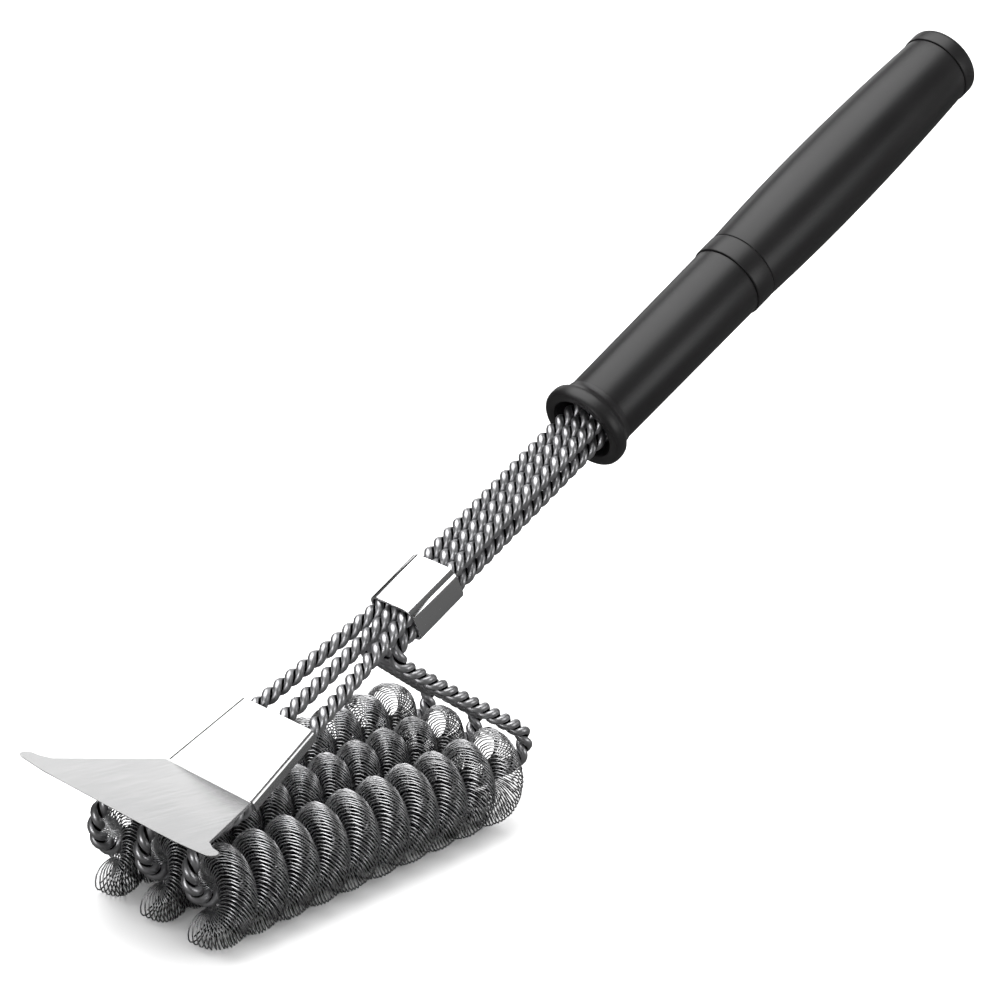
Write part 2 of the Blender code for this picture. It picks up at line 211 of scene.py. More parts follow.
@dataclass(frozen=True)
class DrawnWire:
    """Stainless wire pulled through a die: bright, with fine lines, and painted shade on the faces that look
    inward, where wires meet.
    """

    name: str
    bright: str
    dull: str
    shadow: str
    roughness: float
    shade_from: float  # how far a face looks inward where its shade starts
    shade_to: float  # and where it is full
    patch: float = 9.0 * MM  # size of the cleaner and dirtier patches
    drawing_line: float = 0.35 * MM  # real lines are finer, and drawn this coarse to show
    texture: Texture = Texture(glossier=0.06, rougher=0.08, strength=0.03, height=0.02 * MM)

    def make(self) -> bpy.types.Material:
        """Builds the material from the wire's own inward attribute and Object coordinates."""
        material, shader = fresh_material(self.name)
        tree = material.node_tree
        place = add_node(tree, "ShaderNodeTexCoord").outputs["Object"]
        # Patches of slightly different brightness, as on handled wire.
        patches = add_node(
            tree, "ShaderNodeTexNoise", {"Scale": 1 / self.patch, "Detail": 3.0}, {"Vector": place}
        )
        tone = add_node(
            tree, "ShaderNodeMix", {MIX_LOW: linear(self.dull), MIX_HIGH: linear(self.bright)},
            {MIX_FACTOR: patches.outputs["Fac"]}, data_type="RGBA",
        )
        # Painted shade: faces that look inward, towards the other wire or the inside of the spring, are
        # darkened towards the shadow colour.
        inward = add_node(tree, "ShaderNodeAttribute", attribute_name="inward")
        painted_shade = add_node(
            tree, "ShaderNodeMapRange",
            {"From Min": self.shade_from, "From Max": self.shade_to},
            {"Value": inward.outputs["Fac"]}, interpolation_type="SMOOTHSTEP",
        )
        colour = add_node(
            tree, "ShaderNodeMix", {MIX_HIGH: linear(self.shadow)},
            {MIX_FACTOR: painted_shade.outputs["Result"], MIX_LOW: tone.outputs[MIX_RESULT]}, data_type="RGBA",
        )
        fine = add_node(
            tree, "ShaderNodeTexNoise", {"Scale": 1 / self.drawing_line, "Detail": 2.0}, {"Vector": place}
        ).outputs["Fac"]
        shader.inputs["Metallic"].default_value = 1.0
        self.texture.dress(material, colour.outputs[MIX_RESULT], self.roughness, fine, fine)
        return material


@dataclass(frozen=True)
class SheetSteel:
    """Cold-rolled stainless sheet, cut and folded: a pale mirror with rolling grain along it."""

    name: str
    colour: str
    worn: str
    polish: Polish
    grain: float = 0.6 * MM  # spacing of the rolling lines, drawn coarse enough to show
    grain_stretch: float = 0.03
    cloud: float = 22.0 * MM  # size of the paler and duller parts
    texture: Texture = Texture(glossier=0.05, rougher=0.07, strength=0.08, height=0.02 * MM)

    def make(self) -> bpy.types.Material:
        """Builds the material on Object coordinates, with its grain along the object."""
        material, shader = fresh_material(self.name)
        tree = material.node_tree
        place = add_node(tree, "ShaderNodeTexCoord").outputs["Object"]
        stretch = (self.grain_stretch, 1.0, self.grain_stretch)
        along = add_node(tree, "ShaderNodeMapping", {"Scale": stretch}, {"Vector": place})
        grain = add_node(
            tree, "ShaderNodeTexNoise", {"Scale": 1 / self.grain, "Detail": 3.0},
            {"Vector": along.outputs["Vector"]},
        ).outputs["Fac"]
        cloud = add_node(
            tree, "ShaderNodeTexNoise", {"Scale": 1 / self.cloud, "Detail": 2.0}, {"Vector": place}
        )
        tone = add_node(
            tree, "ShaderNodeMix", {MIX_LOW: linear(self.worn), MIX_HIGH: linear(self.colour)},
            {MIX_FACTOR: cloud.outputs["Fac"]}, data_type="RGBA",
        )
        shader.inputs["Metallic"].default_value = 1.0
        self.texture.dress(material, tone.outputs[MIX_RESULT], self.polish.value, grain, grain)
        return material


@dataclass(frozen=True)
class MouldedPlastic:
    """Black polypropylene from a spark-eroded mould: matte, with a fine even grain."""

    name: str
    colour: str
    rubbed: str
    roughness: float
    grain: float = 0.35 * MM
    handled: float = 30.0 * MM  # size of the parts that hands have rubbed
    ior: float = 1.49  # polypropylene
    texture: Texture = Texture(glossier=0.05, rougher=0.08, strength=0.25, height=0.03 * MM)

    def make(self) -> bpy.types.Material:
        """Builds the material on Object coordinates."""
        material, shader = fresh_material(self.name)
        tree = material.node_tree
        place = add_node(tree, "ShaderNodeTexCoord").outputs["Object"]
        pits = add_node(
            tree, "ShaderNodeTexNoise", {"Scale": 1 / self.grain, "Detail": 2.0, "Roughness": 0.6},
            {"Vector": place},
        ).outputs["Fac"]
        hands = add_node(
            tree, "ShaderNodeTexNoise", {"Scale": 1 / self.handled, "Detail": 3.0}, {"Vector": place}
        ).outputs["Fac"]
        tone = add_node(
            tree, "ShaderNodeMix", {MIX_LOW: linear(self.colour), MIX_HIGH: linear(self.rubbed)},
            {MIX_FACTOR: hands}, data_type="RGBA",
        )
        shader.inputs["IOR"].default_value = self.ior
        self.texture.dress(material, tone.outputs[MIX_RESULT], self.roughness, hands, pits)
        return material


# ---------------------------------------------------------------------------
# Shared modelling steps
# ---------------------------------------------------------------------------


def deselect() -> None:
    """Leaves nothing selected, so that the next operator works on its own piece."""
    if bpy.context.mode != "OBJECT":
        bpy.ops.object.mode_set(mode="OBJECT")
    bpy.ops.object.select_all(action="DESELECT")


def make_active(piece: bpy.types.Object) -> None:
    """Selects one piece alone and makes it active."""
    deselect()
    piece.select_set(True)
    bpy.context.view_layer.objects.active = piece


def place_in_mesh(piece: bpy.types.Object, matrix: Matrix) -> None:
    """Moves a piece by a matrix and applies it, so that its object stays at the origin."""
    make_active(piece)
    piece.matrix_world = matrix @ piece.matrix_world
    bpy.ops.object.transform_apply(location=True, rotation=True, scale=True)


def smooth(piece: bpy.types.Object, degrees: float = 35.0) -> None:
    """Shades a piece smooth up to an angle between its faces."""
    make_active(piece)
    bpy.ops.object.shade_smooth_by_angle(angle=math.radians(degrees))


def report(piece: bpy.types.Object, node: str | None = None) -> None:
    """Logs a piece's faces, and how far its box is from that of the node it stands for."""
    piece.data.calc_loop_triangles()
    note = ""
    if node:
        low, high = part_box(node)
        points = np.array([corner[:] for corner in piece.bound_box])
        box = np.array([points.min(0), points.max(0)])
        off = np.abs(box - np.array([low[:], high[:]])).max()
        note = f", box within {off / MM:.2f} mm of {node}"
    LOG.info("%s: %d triangles%s", piece.name, len(piece.data.loop_triangles), note)


def finish_piece(
    piece: bpy.types.Object, material: bpy.types.Material, replaced: str
) -> bpy.types.Object:
    """Gives a finished piece its material and its place in the frame.

    Args:
        piece: the finished mesh object.
        material: its material.
        replaced: the CAD node that it stands for.

    Returns:
        The same piece.
    """
    piece.data.materials.clear()
    piece.data.materials.append(material)
    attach(piece, BODY)
    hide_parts(replaced)
    report(piece, replaced)
    return piece


def wire_mesh(
    name: str, centres: np.ndarray, outward: np.ndarray, radius: float, sides: int
) -> bpy.types.Object:
    """Sweeps a round wire along a line and stores how far each vertex faces the inside.

    Args:
        name: the object's name.
        centres: the wire's line, N by 3.
        outward: at each point, a direction away from what the wire is wound round.
        radius: the wire's radius.
        sides: vertices round the wire.

    Returns:
        A closed mesh object with a point attribute called inward.
    """
    tangent = np.gradient(centres, axis=0)
    tangent /= np.linalg.norm(tangent, axis=1, keepdims=True)
    out = outward - tangent * (outward * tangent).sum(1, keepdims=True)
    out /= np.linalg.norm(out, axis=1, keepdims=True)
    across = np.cross(tangent, out)
    turn = 2 * math.pi * (np.arange(sides) + 0.5) / sides
    ring = out[:, None] * np.cos(turn)[None, :, None] + across[:, None] * np.sin(turn)[None, :, None]
    points = (centres[:, None] + radius * ring).reshape(-1, 3)
    count = len(centres)
    first = np.arange(count - 1)[:, None] * sides + np.arange(sides)
    after = np.arange(count - 1)[:, None] * sides + (np.arange(sides) + 1) % sides
    quads = np.stack([first, after, after + sides, first + sides], axis=-1).reshape(-1, 4)
    faces = quads.tolist()
    faces.append(list(range(sides))[::-1])
    faces.append(list(range((count - 1) * sides, count * sides)))
    mesh = bpy.data.meshes.new(name)
    mesh.from_pydata(points.tolist(), [], faces)
    mesh.shade_smooth()
    inward = np.tile((1 - np.cos(turn)) / 2, count)
    mesh.attributes.new("inward", "FLOAT", "POINT").data.foreach_set("value", inward.astype(np.float32))
    piece = bpy.data.objects.new(name, mesh)
    bpy.context.scene.collection.objects.link(piece)
    return piece


# ---------------------------------------------------------------------------
# The stem's line
# ---------------------------------------------------------------------------


@dataclass(frozen=True)
class StemLine:
    """The straight line that collar, wires and handle share, and the head's slope below it."""

    mouth: Vector = Vector((113.0 * MM, 0.0, 76.8 * MM)) - ORIGIN
    stem_tilt: float = math.radians(26.8)
    head_tilt: float = math.radians(25.3)

    def at(self, tilt: float, along: float, across: float, above: float) -> Vector:
        """Point on a slope through the collar's mouth.

        Args:
            tilt: the slope's angle above the floor.
            along: distance from the mouth towards the handle.
            across: distance towards the far side.
            above: distance out of the slope, upwards.

        Returns:
            The point in the object's frame.
        """
        direction = Vector((math.cos(tilt), 0.0, math.sin(tilt)))
        normal = Vector((-math.sin(tilt), 0.0, math.cos(tilt)))
        return self.mouth + direction * along + normal * above + Vector((0.0, across, 0.0))

    def on_stem(self, along: float, across: float, above: float) -> Vector:
        """Point beside the stem's axis."""
        return self.at(self.stem_tilt, along, across, above)

    def on_head(self, along: float, across: float, above: float) -> Vector:
        """Point beside the axis of the fanned wires and the clamp."""
        return self.at(self.head_tilt, along, across, above)

    @property
    def matrix(self) -> Matrix:
        """Takes a piece modelled upright to the stem: Z runs up it, -X is its upper side."""
        turn = Matrix.Rotation(math.pi / 2 - self.stem_tilt, 4, "Y")
        return Matrix.Translation(self.mouth) @ turn


# ---------------------------------------------------------------------------
# Twisted wire loops
# ---------------------------------------------------------------------------


@dataclass
class TwistedLoop:
    """Two wires twisted together and bent into one loop that starts and ends in the handle."""

    row: Row
    stem: StemLine
    lay_length: float = 10.5 * MM  # one full turn of the twist
    tail: float = 150.0 * MM  # how far up the stem the wires end
    fan_start: float = -1.0 * MM
    fan_start_radius: float = 20.0 * MM
    clamp: float = -55.0 * MM  # where the fanned wires enter the clamp
    clamp_fan: float = 13.3 * MM
    clamp_radius: float = 80.0 * MM
    crease: float = -93.0 * MM  # where they leave it below the sheet's crease
    crease_fan: float = 17.1 * MM
    crease_radius: float = 12.0 * MM
    front_x: float = -1.0 * MM
    front_slack: float = 0.1 * MM  # by which the two front bends stay apart
    rear_rise: float = 10.5 * MM
    rear_radius: float = 6.8 * MM
    mouth_bend: float = -13.0 * MM
    mouth_radius: float = 6.0 * MM
    step: float = 0.8 * MM
    bend_step: float = math.radians(5)
    straight_below: float = 1e-4  # radians; a smaller bend is left as a point
    turned_on: float = 0.9  # radians between the twists of neighbouring loops
    play: float = 0.985  # share of its radius that a wire keeps, so that the two never touch
    sides: int = 14

    def corners(self) -> list[tuple[Vector, float]]:
        """Corners of the loop's centreline with the radius of each bend."""
        side = self.row.value
        layer = ROPE_SPACING / 2
        packed = side * ROPE_SPACING
        y_front = side * ROW_SPACING
        y_rear = side * ROW_REAR_SPACING
        crease = self.stem.on_head(self.crease, side * self.crease_fan, layer)
        bend = (crease.z - ROW_RADIUS) / 2 - self.front_slack
        front = self.front_x - ORIGIN.x
        rear = ROW_REAR - ORIGIN.x
        return [
            (self.stem.on_stem(self.tail, packed, layer), 0.0),
            (self.stem.on_stem(self.fan_start, packed, layer), self.fan_start_radius),
            (self.stem.on_head(self.clamp, side * self.clamp_fan, layer), self.clamp_radius),
            (crease, self.crease_radius),
            (Vector((front, y_front, crease.z)), bend),
            (Vector((front, y_front, ROW_RADIUS)), bend),
            (Vector((rear, y_rear, ROW_RADIUS)), self.rear_radius),
            (Vector((rear, y_rear, ROW_RADIUS + self.rear_rise)), self.rear_radius),
            (self.stem.on_stem(self.mouth_bend, packed, -layer), self.mouth_radius),
            (self.stem.on_stem(self.tail, packed, -layer), 0.0),
        ]

    def centreline(self) -> np.ndarray:
        """Evenly spaced points of the loop with every corner rounded."""
        corners = self.corners()
        points = [corners[0][0]]
        for before, (corner, radius), after in zip(corners, corners[1:], corners[2:]):
            back = (before[0] - corner).normalized()
            ahead = (after[0] - corner).normalized()
            if back.angle(-ahead) < self.straight_below:
                points.append(corner)
                continue
            half = back.angle(ahead) / 2
            reach = radius / math.tan(half)
            centre = corner + (back + ahead).normalized() * (radius / math.sin(half))
            start = corner + back * reach - centre
            turn = math.pi - 2 * half
            axis = start.cross(corner + ahead * reach - centre).normalized()
            count = max(3, math.ceil(turn / self.bend_step))
            points += [centre + Matrix.Rotation(turn * k / count, 3, axis) @ start for k in range(count + 1)]
        points.append(corners[-1][0])
        line = np.array([point[:] for point in points])
        run = np.concatenate([[0.0], np.cumsum(np.linalg.norm(np.diff(line, axis=0), axis=1))])
        even = np.linspace(0.0, run[-1], round(run[-1] / self.step) + 1)
        return np.stack([np.interp(even, run, line[:, k]) for k in range(3)], axis=1)

    def strand(self, phase: float) -> tuple[np.ndarray, np.ndarray]:
        """One wire of the pair.

        Args:
            phase: where on the twist the wire starts.

        Returns:
            The wire's line and its outward directions, each N by 3.
        """
        line = self.centreline()
        tangent = np.gradient(line, axis=0)
        tangent /= np.linalg.norm(tangent, axis=1, keepdims=True)
        normal = np.zeros_like(line)
        normal[0] = np.cross(tangent[0], (0.0, 1.0, 0.0))
        for k in range(1, len(line)):
            carried = normal[k - 1] - tangent[k] * np.dot(normal[k - 1], tangent[k])
            normal[k] = carried / np.linalg.norm(carried)
        binormal = np.cross(tangent, normal)
        angle = phase - 2 * math.pi * self.step * np.arange(len(line)) / self.lay_length
        outward = normal * np.cos(angle)[:, None] + binormal * np.sin(angle)[:, None]
        return line + outward * WIRE_RADIUS, outward

    def build(self, material: bpy.types.Material) -> list[bpy.types.Object]:
        """Makes the loop's two wires.

        Args:
            material: the wire's finish.

        Returns:
            The two finished pieces.
        """
        pieces = []
        start = self.turned_on * self.row.value
        for letter, phase in (("a", start), ("b", start + math.pi)):
            line, outward = self.strand(phase)
            name = f"wire_{self.row.label}_{letter}"
            piece = wire_mesh(name, line, outward, WIRE_RADIUS * self.play, self.sides)
            pieces.append(finish_piece(piece, material, f"rope_{self.row.label}"))
        return pieces


# ---------------------------------------------------------------------------
# Scrubbing rows
# ---------------------------------------------------------------------------


@dataclass
class ScrubbingRow:
    """A fine spring whose loops lean over, itself wound round its wire loop."""

    row: Row
    spring_radius: float = 6.5 * MM
    wire_radius: float = 0.25 * MM
    pitch: float = 13.93 * MM
    first_pass: float = 9.9 * MM  # where the winding first crosses the near side
    start_angle: float = math.radians(-112)
    turns: float = 9.7
    loops_per_turn: int = 62
    points_per_loop: int = 16
    cant: float = math.radians(25)  # how far a loop leans over along the winding
    upright_end: float = 0.8  # turn over which the loops straighten up at each end, in radians
    sides: int = 4
    unevenness: float = 0.035  # share of the radius by which loops differ, two spreads wide
    uneven_every: int = 7  # points between two draws of it
    lean_spread: float = 0.012  # radians by which loops stand unevenly along the winding
    core: float = 0.2  # share of the radius that a wire's inner side looks towards

    def pressed(self, offset: np.ndarray, limit: np.ndarray) -> np.ndarray:
        """Offsets from the row's axis after its neighbours have pressed the spring in.

        Args:
            offset: distances across from the row's axis.
            limit: the furthest that the spring can reach at each point.

        Returns:
            The offsets, each within its limit.
        """
        inner = ROPE_RADIUS + CLEARANCE
        beyond = np.maximum(np.abs(offset) - inner, 0.0)
        share = beyond * (limit - inner) / (ROW_RADIUS - inner)
        return np.where(np.abs(offset) <= inner, offset, np.sign(offset) * (inner + share))

    def surface(self, angle: np.ndarray, around: np.ndarray, radius: np.ndarray) -> np.ndarray:
        """Points of the wound spring.

        Args:
            angle: how far the point has gone round the loop.
            around: the place on the spring's own section.
            radius: the distance from the spring's own centre.

        Returns:
            Points, N by 3.
        """
        mean = ROW_RADIUS - self.spring_radius
        lead = math.atan2(self.pitch, 2 * math.pi * mean)
        radial = mean + radius * np.cos(around)
        shift = radius * np.sin(around)
        x = self.first_pass + self.pitch * angle / (2 * math.pi) + shift * math.cos(lead)
        turned = angle - shift * math.sin(lead) / mean
        y = -radial * np.cos(turned)
        z = radial * np.sin(turned)
        neighbour = ROW_SPACING / 2 - CLEARANCE / 2
        side = self.row.value
        faces_neighbour = (y > 0) if side == -1 else (y < 0) if side == 1 else np.full(y.shape, True)
        y = self.pressed(y, np.where(faces_neighbour, neighbour, ROW_RADIUS))
        centre = side * (ROW_SPACING + (ROW_REAR_SPACING - ROW_SPACING) * x / ROW_REAR)
        return np.stack([x - ORIGIN.x, centre + y, ROW_RADIUS + z], axis=1)

    def build(self, material: bpy.types.Material) -> bpy.types.Object:
        """Winds the spring's wire.

        Args:
            material: the spring wire's finish.

        Returns:
            The finished piece.
        """
        random = np.random.default_rng(41 + self.row.value)
        loops = round(self.turns * self.loops_per_turn)
        count = loops * self.points_per_loop
        steps = np.arange(count + 1)
        share = steps / count
        angle = self.start_angle + 2 * math.pi * self.turns * share
        around = 2 * math.pi * loops * share
        knots = steps[:: self.uneven_every]
        wander = np.interp(steps, knots, random.normal(0.0, self.unevenness / 2, len(knots)))
        radius = (self.spring_radius - self.wire_radius) * (1 - np.abs(wander))
        lean = np.interp(share, np.linspace(0, 1, loops), random.normal(0.0, self.lean_spread, loops))
        from_end = np.minimum(angle - angle[0], angle[-1] - angle)
        lean -= self.cant * np.clip(from_end / self.upright_end, 0.0, 1.0) * np.sin(around)
        line = self.surface(angle + lean, around, radius)
        centre = self.surface(angle + lean, around, radius * self.core)
        piece = wire_mesh(f"spring_{self.row.label}", line, line - centre, self.wire_radius, self.sides)
        return finish_piece(piece, material, f"coil_{self.row.label}")


# ---------------------------------------------------------------------------
# Scraper
# ---------------------------------------------------------------------------


@dataclass
class Scraper:
    """The folded sheet: clamp plate, two flanges and the flared blade, with its edges broken."""

    node: str = "scraper"
    crease_radius: float = 1.0 * MM
    crease_bend: tuple[float, float] = (math.radians(20), math.radians(50))
    crease_shortest: float = 30.0 * MM
    fold_radius: float = 2.0 * MM
    fold_shortest: float = 25.0 * MM
    up_facing: float = 0.8  # least Z of the plate's normal
    side_facing: float = 0.9  # least Y of a flange's normal
    fold_segments: int = 6
    edge_break: float = 0.2 * MM
    weld: float = 0.01 * MM
    flat_below: float = math.radians(1.0)
    sharp_above: float = math.radians(30)
    smooth_below: float = 60.0  # degrees between two faces

    def select_edges(self, mesh: bpy.types.Mesh, across: bool) -> None:
        """Selects long edges of a fold.

        Args:
            mesh: the sheet's mesh.
            across: True for the fold between plate and blade, False for those of the flanges.
        """
        normals: dict[tuple[int, ...], list[Vector]] = {}
        for face in mesh.polygons:
            for key in face.edge_keys:
                normals.setdefault(key, []).append(face.normal)
        for edge in mesh.edges:
            a, b = (mesh.vertices[k].co for k in edge.vertices)
            first, second = normals[edge.key][:2]
            along_y = (a - b).xz.length < self.weld
            if across:
                least, most = self.crease_bend
                turned = least < first.angle(second) < most
                edge.select = along_y and turned and abs(a.y - b.y) > self.crease_shortest
            else:
                upward = max(first.z, second.z) > self.up_facing
                sideways = max(abs(first.y), abs(second.y)) > self.side_facing
                long = (a - b).length > self.fold_shortest
                edge.select = not along_y and upward and sideways and long
        LOG.info("fold edges: %d", sum(edge.select for edge in mesh.edges))

    def round_fold(self, piece: bpy.types.Object, across: bool, radius: float) -> None:
        """Bevels the folds of one kind on a piece that is in object mode."""
        bpy.ops.object.mode_set(mode="EDIT")
        bpy.ops.mesh.select_all(action="DESELECT")
        bpy.ops.mesh.select_mode(type="EDGE")
        bpy.ops.object.mode_set(mode="OBJECT")
        self.select_edges(piece.data, across)
        bpy.ops.object.mode_set(mode="EDIT")
        bpy.ops.mesh.bevel(
            offset=radius, segments=self.fold_segments, affect="EDGES", clamp_overlap=True
        )
        bpy.ops.object.mode_set(mode="OBJECT")

    def build(self, material: bpy.types.Material) -> bpy.types.Object:
        """Rounds the fold and the cut edges on a copy of the frame's sheet.

        Args:
            material: the sheet's finish.

        Returns:
            The finished piece.
        """
        source = bpy.data.objects[self.node]
        piece = bpy.data.objects.new("scraper_sheet", source.data.copy())
        bpy.context.scene.collection.objects.link(piece)
        make_active(piece)
        bpy.ops.object.mode_set(mode="EDIT")
        bpy.ops.mesh.select_all(action="SELECT")
        bpy.ops.mesh.remove_doubles(threshold=self.weld)
        bpy.ops.mesh.dissolve_limited(angle_limit=self.flat_below)
        bpy.ops.mesh.normals_make_consistent(inside=False)
        bpy.ops.object.mode_set(mode="OBJECT")
        self.round_fold(piece, False, self.fold_radius)
        self.round_fold(piece, True, self.crease_radius)
        broken = piece.modifiers.new("broken edges", "BEVEL")
        broken.width = self.edge_break
        broken.segments = 2
        broken.limit_method = "ANGLE"
        broken.angle_limit = self.sharp_above
        weighted = piece.modifiers.new("flat faces", "WEIGHTED_NORMAL")
        weighted.keep_sharp = False
        weighted.weight = 100
        smooth(piece, self.smooth_below)
        for modifier in (broken.name, weighted.name):
            bpy.ops.object.modifier_apply(modifier=modifier)
        return finish_piece(piece, material, self.node)


# ---------------------------------------------------------------------------
# Collar
# ---------------------------------------------------------------------------


@dataclass
class Collar:
    """A strip of sheet pressed round the six wires into a flat-topped sleeve."""

    stem: StemLine
    start: float = 1.0 * MM
    length: float = 23.0 * MM
    corner_segments: int = 10
    edge_break: float = 0.2 * MM
    rim_above: float = math.radians(50)

    def build(self, material: bpy.types.Material) -> bpy.types.Object:
        """Shapes a box into the sleeve.

        Args:
            material: the collar's finish.

        Returns:
            The finished piece.
        """
        corner = ROPE_RADIUS + CLEARANCE + SHEET
        half_high = ROPE_SPACING / 2 + corner
        half_wide = ROPE_SPACING + corner
        deselect()
        bpy.ops.mesh.primitive_cube_add(
            size=1.0,
            location=(0.0, 0.0, self.start + self.length / 2),
            scale=(2 * half_high, 2 * half_wide, self.length),
        )
        piece = bpy.context.object
        piece.name = "collar_sleeve"
        bpy.ops.object.transform_apply(location=True, rotation=True, scale=True)
        mesh = piece.data
        bpy.ops.object.mode_set(mode="EDIT")
        bpy.ops.mesh.select_all(action="DESELECT")
        bpy.ops.object.mode_set(mode="OBJECT")
        for edge in mesh.edges:
            a, b = (mesh.vertices[k].co for k in edge.vertices)
            edge.select = abs(a.z - b.z) > self.length / 2
        bpy.ops.object.mode_set(mode="EDIT")
        bpy.ops.mesh.bevel(offset=corner, segments=self.corner_segments, affect="EDGES")
        bpy.ops.mesh.select_all(action="DESELECT")
        bpy.ops.object.mode_set(mode="OBJECT")
        for face in mesh.polygons:
            face.select = abs(face.normal.z) > 0.9
        bpy.ops.object.mode_set(mode="EDIT")
        bpy.ops.mesh.delete(type="ONLY_FACE")
        bpy.ops.object.mode_set(mode="OBJECT")
        wall = piece.modifiers.new("wall", "SOLIDIFY")
        wall.thickness = SHEET
        wall.offset = -1.0
        rims = piece.modifiers.new("rims", "BEVEL")
        rims.width = self.edge_break
        rims.segments = 3
        rims.limit_method = "ANGLE"
        rims.angle_limit = self.rim_above
        make_active(piece)
        for modifier in (wall.name, rims.name):
            bpy.ops.object.modifier_apply(modifier=modifier)
        place_in_mesh(piece, self.stem.matrix)
        smooth(piece)
        return finish_piece(piece, material, "stem_collar")


# ---------------------------------------------------------------------------
# Handle
# ---------------------------------------------------------------------------


@dataclass
class Handle:
    """The five turned mouldings of the handle, from the bell by the wires to the end cap."""

    stem: StemLine
    bell_start: float = 104.0 * MM
    bell_length: float = 10.5 * MM
    bell_radius: float = 17.2 * MM
    bead_share: float = 0.30  # half the outer bead's width, as a share of the bell's length
    bead_depth: float = 1.5 * MM
    bead_fullness: float = 1.2
    hole_radius: float = 11.2 * MM
    sleeve_radius: float = 14.1 * MM
    sleeve_rear_radius: float = 14.8 * MM
    wall: float = 2.0 * MM
    ring_start: float = 191.2 * MM
    ring_length: float = 9.2 * MM
    ring_radius: float = 15.3 * MM
    spigot: float = 10.0 * MM
    spigot_wall: float = 1.8 * MM
    grip_front: float = 15.2 * MM
    grip_middle: float = 16.5 * MM
    grip_rear: float = 14.6 * MM
    grip_peak: float = 0.42
    cap_start: float = 326.2 * MM
    cap_length: float = 7.4 * MM
    cap_radius: float = 15.0 * MM
    cap_edge: float = 2.6 * MM
    cap_spigot: float = 12.0 * MM
    cap_thickness: float = 2.0 * MM  # from the spigot's closed bottom to the band
    seam: float = 0.05 * MM  # between two mouldings pushed home
    tube_edge: float = 0.3 * MM
    band_edge: float = 0.4 * MM
    joint_edge: float = 0.5 * MM
    smooth_below: float = 32.0  # degrees between two faces

    def turn(self, name: str, rings: list[tuple[float, float]], closed: bool = True) -> bpy.types.Object:
        """Extrudes a circle ring by ring along the stem.

        Args:
            name: the piece's name.
            rings: distance along the stem and radius of each ring, in order.
            closed: True joins the last ring to the first; False caps both with a disc.

        Returns:
            The piece, placed on the stem.
        """
        deselect()
        along, radius = rings[0]
        bpy.ops.mesh.primitive_circle_add(vertices=HANDLE_SIDES, radius=radius, location=(0.0, 0.0, along))
        piece = bpy.context.object
        piece.name = name
        bpy.ops.object.transform_apply(location=True, rotation=True, scale=True)
        bpy.ops.object.mode_set(mode="EDIT")
        bpy.ops.mesh.select_all(action="SELECT")
        for next_along, next_radius in rings[1:]:
            bpy.ops.mesh.extrude_edges_move(
                TRANSFORM_OT_translate={"value": (0.0, 0.0, next_along - along)}
            )
            grow = next_radius / radius
            bpy.ops.transform.resize(value=(grow, grow, 1.0), center_override=(0.0, 0.0, next_along))
            along, radius = next_along, next_radius
        bpy.ops.mesh.select_all(action="DESELECT")
        bpy.ops.mesh.select_mode(type="EDGE")
        bpy.ops.mesh.select_non_manifold()
        if closed:
            bpy.ops.mesh.bridge_edge_loops()
        else:
            bpy.ops.mesh.edge_face_add()
            bpy.ops.mesh.fill_holes(sides=0)
        bpy.ops.mesh.select_all(action="SELECT")
        bpy.ops.mesh.normals_make_consistent(inside=False)
        bpy.ops.object.mode_set(mode="OBJECT")
        place_in_mesh(piece, self.stem.matrix)
        smooth(piece, self.smooth_below)
        return piece

    @staticmethod
    def rounded(
        along: float, radius: float, edge: float, rising: bool, count: int = 5
    ) -> list[tuple[float, float]]:
        """Rings of a rounded outer edge.

        Args:
            along: where the piece's flat end is.
            radius: the outer radius beside the edge.
            edge: the rounding's radius.
            rising: True on the end nearer the wires, where the outline comes from the axis.
            count: the number of rings.

        Returns:
            The rings in the outline's order.
        """
        way = 1 if rising else -1
        rings = []
        for k in range(count):
            turn = math.pi / 2 * k / (count - 1)
            rings.append((along + way * edge * (1 - math.sin(turn)), radius - edge * (1 - math.cos(turn))))
        return rings[::-1] if rising else rings

    def bell(self) -> bpy.types.Object:
        """The flared mouth: an outer bead, a conical face inside it, and a neck."""
        start, edge = self.bell_start, self.bell_radius
        end = start + self.bell_length
        bead = self.bell_length * self.bead_share
        rings = [
            (start + 4.0 * MM, self.hole_radius),  # where the cone ends in the hole
            (start + 0.6 * MM, self.hole_radius + 1.6 * MM),
            (start + 0.1 * MM, edge - 3.2 * MM),  # the mouth's flat face
        ]
        for k in range(1, 8):
            turn = math.pi * (k / 8)
            drop = self.bead_depth * (1 - math.sin(turn)) ** self.bead_fullness
            rings.append((start + bead - bead * math.cos(turn), edge - drop))
        rings += [
            (start + 7.4 * MM, edge - 2.0 * MM),  # where the bead runs into the neck
            (start + 8.6 * MM, self.sleeve_radius + 0.5 * MM),
            (end, self.sleeve_radius + 0.3 * MM),
            (end, self.hole_radius),
        ]
        return self.turn("bell", rings)

    def sleeve(self) -> bpy.types.Object:
        """The lower tube between the bell and the ring."""
        start = self.bell_start + self.bell_length + self.seam
        end = self.ring_start - self.seam
        inner = self.sleeve_radius - self.wall
        rings = [(start, inner)]
        rings += self.rounded(start, self.sleeve_radius, self.tube_edge, True)
        rings += self.rounded(end, self.sleeve_rear_radius, self.joint_edge, False)
        rings.append((end, inner))
        return self.turn("lower_sleeve", rings)

